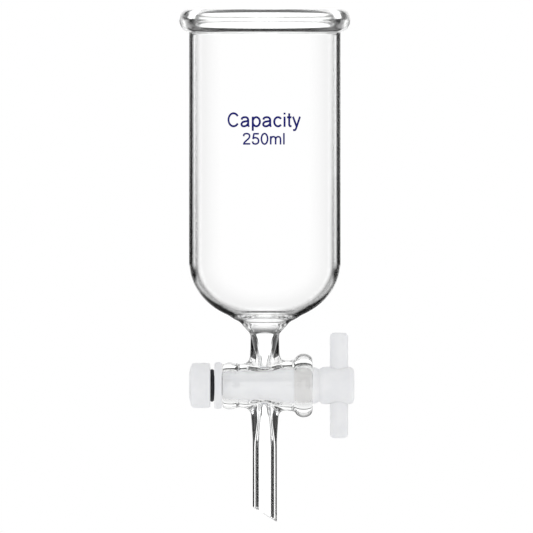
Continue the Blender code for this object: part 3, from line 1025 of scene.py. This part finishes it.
def make_world():
    """White to the camera, a soft dome to plain surfaces, and panels in a dark room to the glass."""
    world = bpy.data.worlds.new("studio")
    bpy.context.scene.world = world
    world.use_nodes = True
    tree = world.node_tree
    tree.nodes.clear()
    out = add(tree, "ShaderNodeOutputWorld")
    coord = add(tree, "ShaderNodeTexCoord")
    unit = add(tree, "ShaderNodeVectorMath", operation="NORMALIZE")
    tree.links.new(coord.outputs["Generated"], unit.inputs[0])
    split = add(tree, "ShaderNodeSeparateXYZ")
    tree.links.new(unit.outputs[0], split.inputs[0])
    turn = calc(tree, "ARCTAN2", calc(tree, "ABSOLUTE", split.outputs["X"]), split.outputs["Y"])
    turn = calc(tree, "MULTIPLY", turn, math.degrees(1.0))
    height = calc(tree, "MULTIPLY", calc(tree, "ARCSINE", split.outputs["Z"]), math.degrees(1.0))
    level = ROOM
    for sides, ends, soft_side, soft_end, strength in PANELS:
        panel = between(tree, turn, *sides, soft_side, strength)
        panel = between(tree, height, *ends, soft_end, panel)
        level = calc(tree, "MAXIMUM", panel, level)
    dome = map_range(tree, split.outputs["Z"], -1.0, 1.0, 1.08, 0.84, "LINEAR")
    seen = white_light(tree, "ShaderNodeBackground", level)
    soft = white_light(tree, "ShaderNodeBackground", dome)
    plain = white_light(tree, "ShaderNodeBackground")
    path = add(tree, "ShaderNodeLightPath")
    light = mix_shaders(tree, path.outputs["Is Diffuse Ray"], seen, soft)
    light = mix_shaders(tree, path.outputs["Is Camera Ray"], light, plain)
    tree.links.new(light.outputs[0], out.inputs["Surface"])
    world.cycles.sampling_method = "NONE"


FLOOR_R = 0.13
FLOOR_GAP = 0.006
FLOOR_FADE = (0.02, FLOOR_R * 0.92)


def make_floor():
    """A pale round table top just under the stem, which turns into plain white towards its edge."""
    mesh = bpy.data.meshes.new("floor")
    bm = bmesh.new()
    bmesh.ops.create_circle(bm, cap_ends=True, segments=96, radius=FLOOR_R)
    bm.to_mesh(mesh)
    bm.free()
    floor = new_object("floor", mesh)
    floor.location = (0, 0, cad_low.z - FLOOR_GAP)
    mat = bpy.data.materials.new("pale_floor")
    tree, out = nodes_of(mat)
    shader = add(tree, "ShaderNodeBsdfPrincipled")
    tint = ramp(tree, object_noise(tree, 30.0, 3.0, 0.5), [(0.3, grey(0.93)), (0.7, grey(0.95))])
    tree.links.new(tint, shader.inputs["Base Color"])
    shader.inputs["Roughness"].default_value = 0.9
    shader.inputs["Specular IOR Level"].default_value = 0.0
    coord = add(tree, "ShaderNodeTexCoord")
    far = add(tree, "ShaderNodeVectorMath", operation="LENGTH")
    tree.links.new(coord.outputs["Object"], far.inputs[0])
    edge = map_range(tree, far.outputs["Value"], *FLOOR_FADE)
    surface = mix_shaders(tree, edge, shader, white_light(tree, "ShaderNodeEmission"))
    tree.links.new(surface.outputs[0], out.inputs["Surface"])
    paint(floor, mat)


# White cards round the object: name, two ends on plan, foot and head above the stopcock's axis,
# brightness, and how far up from its foot the card takes to reach it.  The vessel, the stopcock and the
# stem each see those at their own height.
CARDS = [
    ("card_far", (-0.24, 0.6), (0.24, 0.6), -0.1, 0.04, 1.35, 0.0),
    ("card_near", (-0.02, 0.06), (0.02, 0.06), 0.024, 0.048, 1.2, 0.0),
    ("card_neck", (-0.018, 0.05), (0.018, 0.05), -0.017, 0.0125, 1.3, 0.0),
    ("card_rim", (-0.24, 0.6), (0.24, 0.6), 0.1405, 0.38, 1.3, 0.0),
    ("card_left", (-0.152, 0.163), (-0.200, 0.105), 0.02, 0.1385, 2.3, 0.03),
    ("card_right", (0.200, 0.105), (0.152, 0.163), 0.02, 0.1385, 2.3, 0.03),
]


def make_cards():
    for name, (ax, ay), (bx, by), foot, head, strength, fade in CARDS:
        low, high = AXIS_Z + foot, AXIS_Z + head
        mesh = bpy.data.meshes.new(name)
        mesh.from_pydata([(ax, ay, low), (bx, by, low), (bx, by, high), (ax, ay, high)], [], [(0, 1, 2, 3)])
        card = new_object(name, mesh)
        mat = bpy.data.materials.new(name)
        tree, out = nodes_of(mat)
        if fade:
            up = height_step(tree, place_in(tree)["Z"], foot, foot + fade)
            strength = calc(tree, "MULTIPLY", strength, up)
        glow = white_light(tree, "ShaderNodeEmission", strength)
        tree.links.new(glow.outputs[0], out.inputs["Surface"])
        mat.cycles.emission_sampling = "NONE"
        paint(card, mat)
        card.visible_camera = False
        card.visible_diffuse = False
        card.visible_shadow = False


FRAME_WIDTH = 0.2105
FRAME_X = 0.00067
FRAME_Z = AXIS_Z + 0.04697
CAMERA_AWAY = 1.2


def make_camera():
    """Level and straight on, without perspective, as in the photograph."""
    data = bpy.data.cameras.new("camera")
    data.type = "ORTHO"
    data.ortho_scale = FRAME_WIDTH
    camera = bpy.data.objects.new("camera", data)
    bpy.context.scene.collection.objects.link(camera)
    camera.location = (FRAME_X, -CAMERA_AWAY, FRAME_Z)
    camera.rotation_euler = (math.radians(90), 0, 0)
    data.clip_start = 0.05
    data.clip_end = 10.0
    bpy.context.scene.camera = camera


def main():
    glass = make_glass()
    plug = make_plug()
    bar = make_bar()
    washer = make_washer()
    ring = make_ring()
    nut = make_nut()
    word = make_marking("capacity_word", "Capacity", body=7.85, baseline=102.1, middle=-0.4)
    figure = make_marking("capacity_figure", "250ml", body=6.35, baseline=95.15, middle=-0.3)
    paint(glass, glass_material())
    ptfe = ptfe_material("white_ptfe")
    for piece in (bar, washer, nut):
        paint(piece, ptfe)
    # The plug's material carries painted shade under the barrel's glass beads.
    paint(plug, ptfe_material("white_ptfe_rubbed", BEAD_SHADE_BANDS))
    paint(ring, rubber_material())
    enamel = enamel_material()
    paint(word, enamel)
    paint(figure, enamel)
    make_world()
    make_floor()
    make_cards()
    make_camera()
    scene = bpy.context.scene
    scene.view_settings.view_transform = "Standard"
    scene.cycles.max_bounces = 24
    scene.cycles.transmission_bounces = 20
    scene.cycles.transparent_max_bounces = 24
    scene.cycles.glossy_bounces = 12
    scene.cycles.caustics_refractive = True
    scene.cycles.caustics_reflective = True


main()
